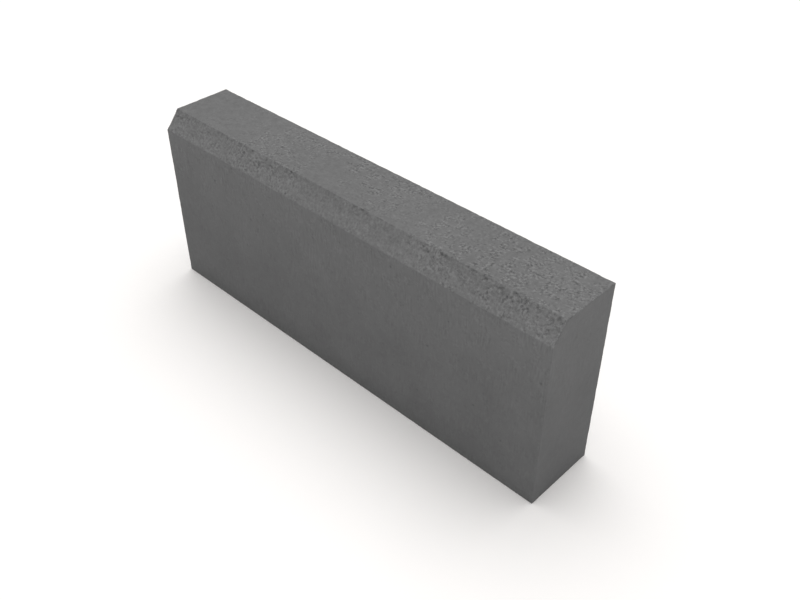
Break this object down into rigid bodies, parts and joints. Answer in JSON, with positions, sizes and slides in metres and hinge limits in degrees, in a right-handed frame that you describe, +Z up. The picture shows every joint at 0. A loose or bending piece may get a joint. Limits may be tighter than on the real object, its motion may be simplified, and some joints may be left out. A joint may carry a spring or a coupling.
{
  "type": "concrete kerb stone",
  "caption": "Straight precast concrete kerb stone: an upright block with a bevel along the front of its top, bedded end to end to edge a path or lawn.",
  "frame": {"origin": "middle of the bed, the face that the stone stands on", "axes": "+X along the kerb line, -Y out of the front face that the bevel is on, +Z up"},
  "size_m": [0.5, 0.08, 0.2],
  "materials": {
    "concrete": "matte, fine open grain on the top and bevel, smoother drawn faces on the sides"
  },
  "bodies": {
    "root": {"kerb_stone": "concrete"}
  },
  "joints": []
}
